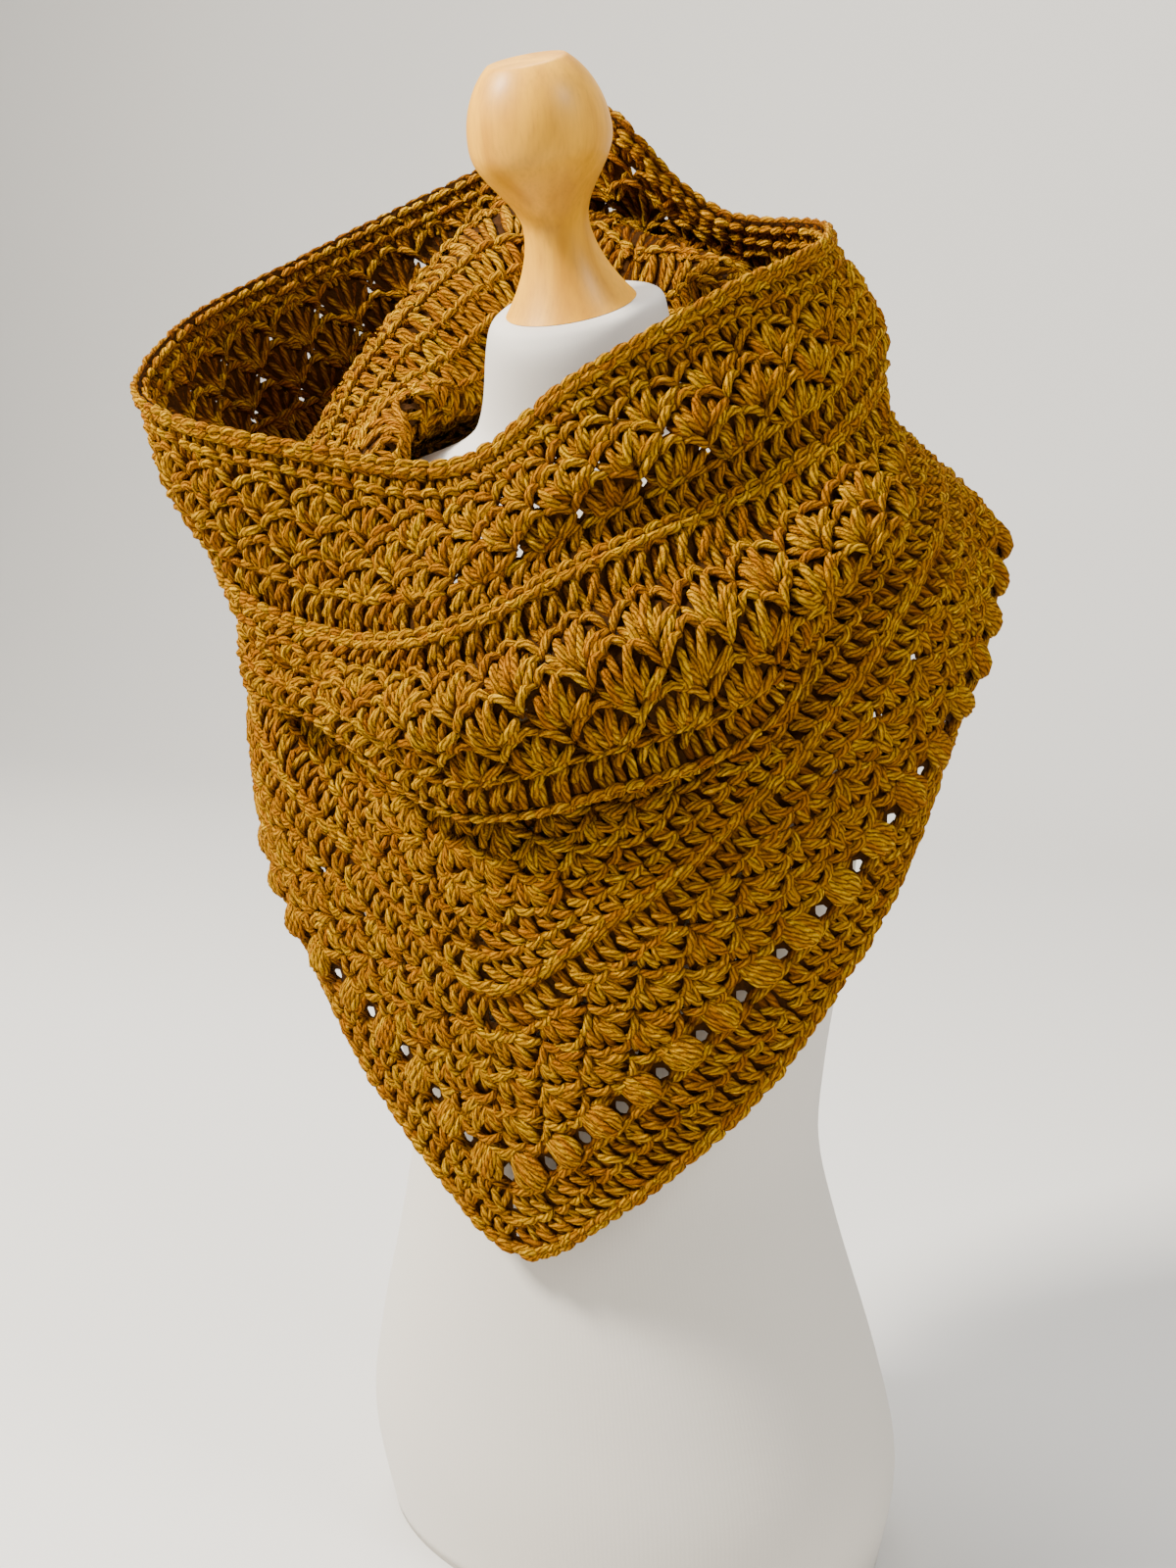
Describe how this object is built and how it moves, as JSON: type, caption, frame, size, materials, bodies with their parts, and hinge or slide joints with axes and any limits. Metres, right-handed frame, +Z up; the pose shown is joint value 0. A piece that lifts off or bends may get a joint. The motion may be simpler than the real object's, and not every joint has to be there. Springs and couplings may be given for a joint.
{
  "type": "hooded cowl scarf on a dress form",
  "caption": "Chunky crocheted cowl with a standing hood, a folded drape and a pointed front, worn on a limbless jersey torso with a turned wooden neck cap.",
  "frame": {"origin": "on the flat underside of the dress form, under its vertical axis", "axes": "+Z up, the front of the body toward -Y, the wearer's left toward +X"},
  "size_m": [0.4203, 0.3071, 0.8188],
  "materials": {
    "yarn": "plied woollen yarn, crocheted, matt with a soft sheen",
    "jersey": "fine cream jersey, matt",
    "wood": "honey-coloured beech, satin varnish"
  },
  "bodies": {
    "root": {"rim_edging": "yarn", "hood_lace": "yarn", "hood_ridge": "yarn", "drape_lace": "yarn", "drape_ridge": "yarn", "neck_tuck": "yarn", "body_lace": "yarn", "body_ridge": "yarn", "hem_lace": "yarn", "bobble_round": "yarn", "hem_border": "yarn", "dress_form": "jersey", "wooden_cap": "wood"}
  },
  "joints": []
}
